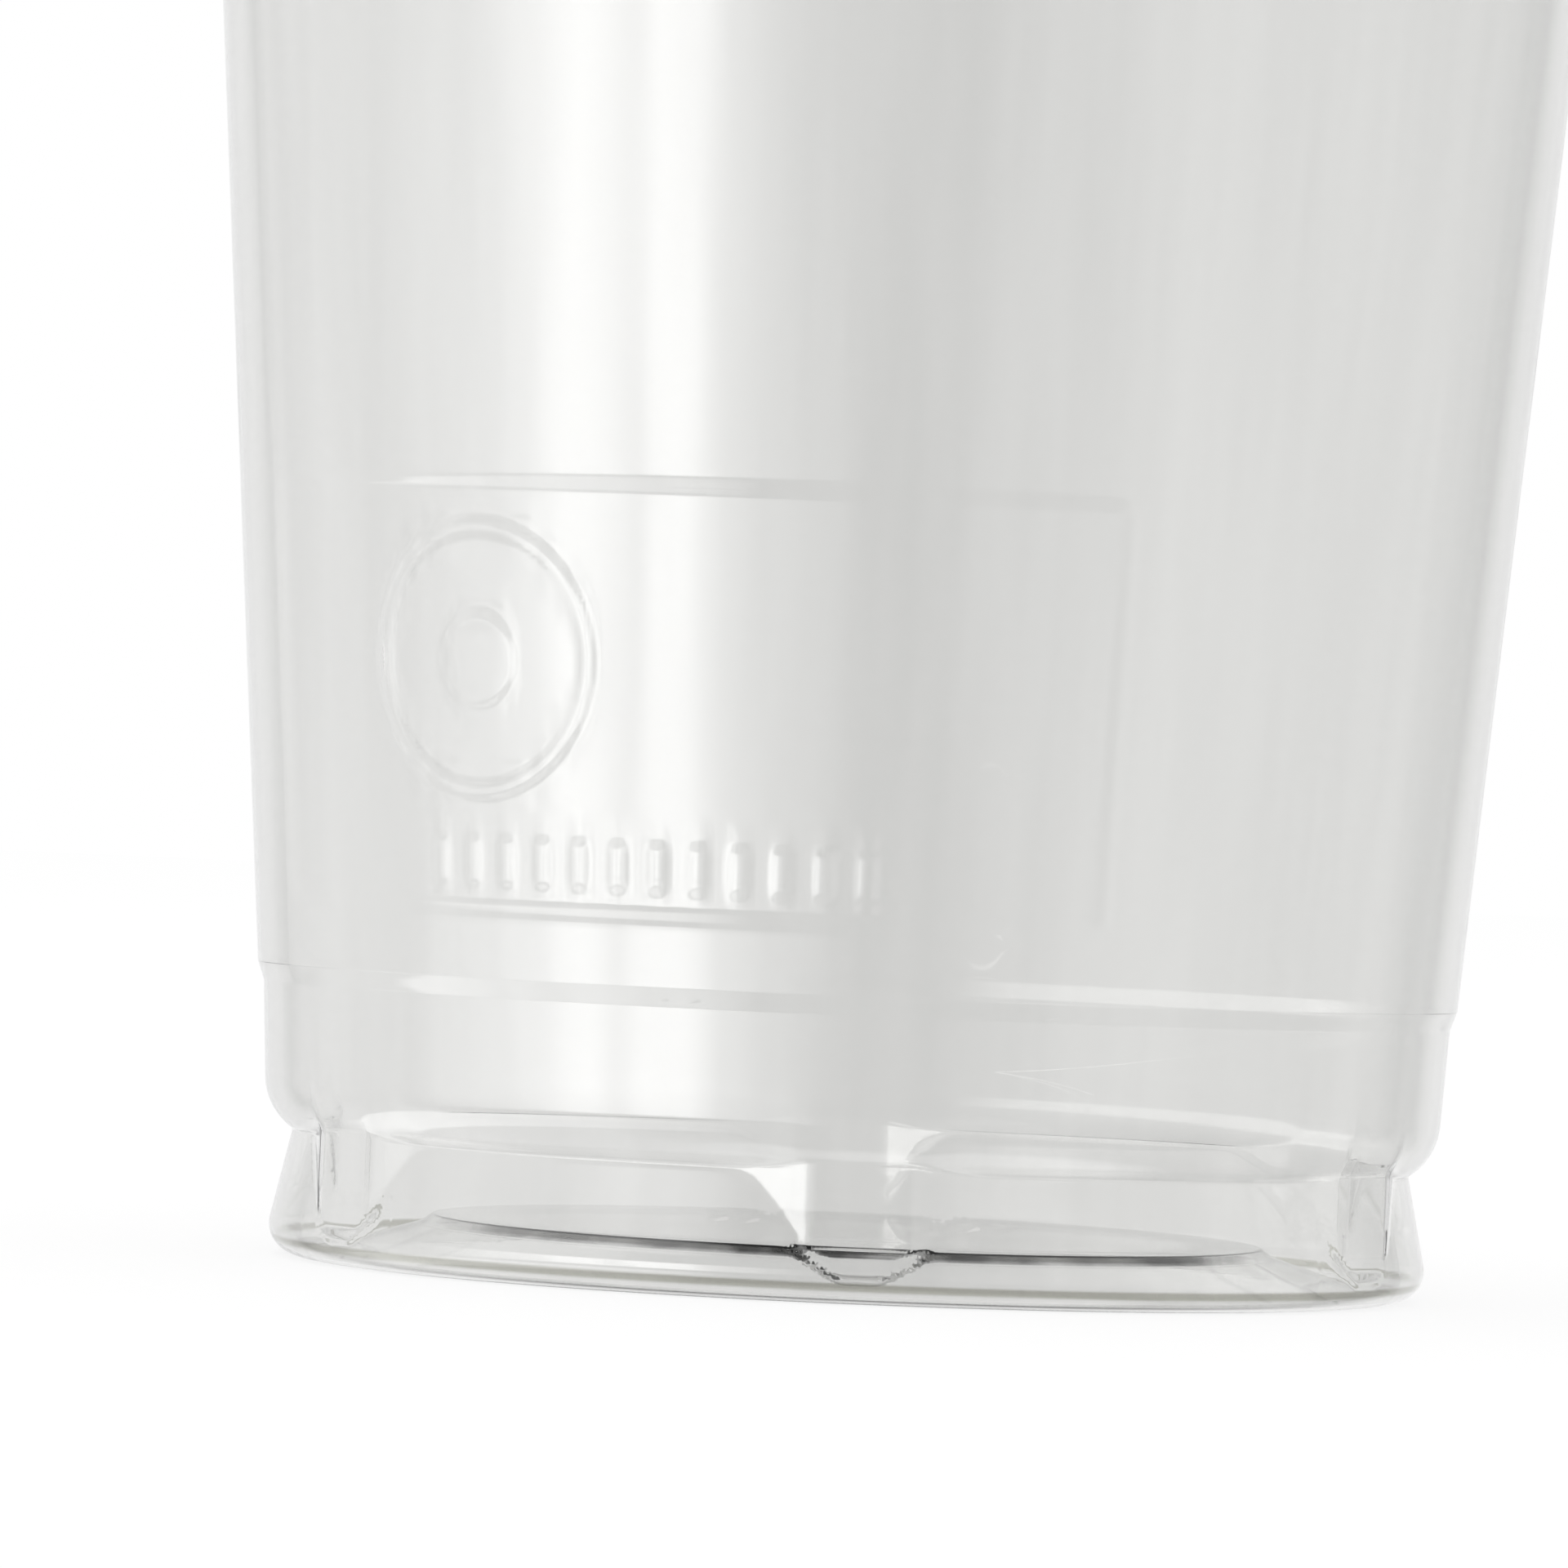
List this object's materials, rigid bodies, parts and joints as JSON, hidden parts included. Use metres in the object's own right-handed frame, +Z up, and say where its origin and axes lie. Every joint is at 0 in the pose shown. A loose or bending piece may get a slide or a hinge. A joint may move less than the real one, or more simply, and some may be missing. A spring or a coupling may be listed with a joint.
{
  "type": "plastic tumbler cup",
  "caption": "Clear thermoformed plastic tumbler with a rolled rim, a plain tapered wall, a shallow panel and a stacking foot.",
  "frame": {"origin": "centre of the ring that the cup stands on, at ground level", "axes": "+Z up the cup's axis, -Y towards the middle of the stacking lug that faces the viewer"},
  "size_m": [0.0788, 0.0787, 0.118],
  "materials": {
    "clear_plastic": "clear glossy thermoformed sheet"
  },
  "bodies": {
    "root": {"cup": "clear_plastic"}
  },
  "joints": []
}
